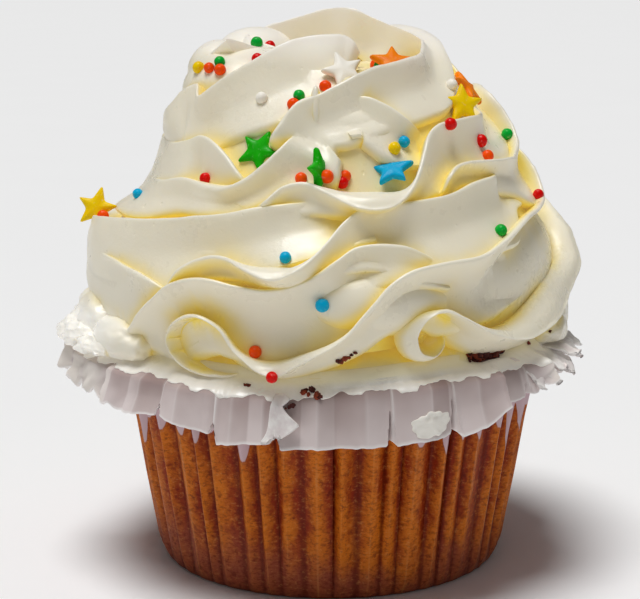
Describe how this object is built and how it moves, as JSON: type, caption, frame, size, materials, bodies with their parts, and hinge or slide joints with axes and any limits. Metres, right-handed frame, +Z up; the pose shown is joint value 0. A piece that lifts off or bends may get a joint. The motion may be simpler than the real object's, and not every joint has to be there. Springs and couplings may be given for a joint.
{
  "type": "frosted muffin",
  "caption": "Muffin in a pleated paper case with a folded paper fringe, under a tall ruffled swirl of piped cream with ball and star sprinkles.",
  "frame": {"origin": "centre of the paper case's flat underside, where it rests", "axes": "+Z up along the axis of the case; -Y is the front that the picture shows"},
  "size_m": [0.0758, 0.0725, 0.0781],
  "materials": {
    "cake": "dark baked crumb",
    "cream": "soft whipped cream, slightly moist",
    "paper_case": "greaseproof paper, brown where the cake has soaked it and white where it is dry"
  },
  "bodies": {
    "root": {"cake": "cake", "cream": "cream", "paper_case": "paper_case"}
  },
  "joints": []
}
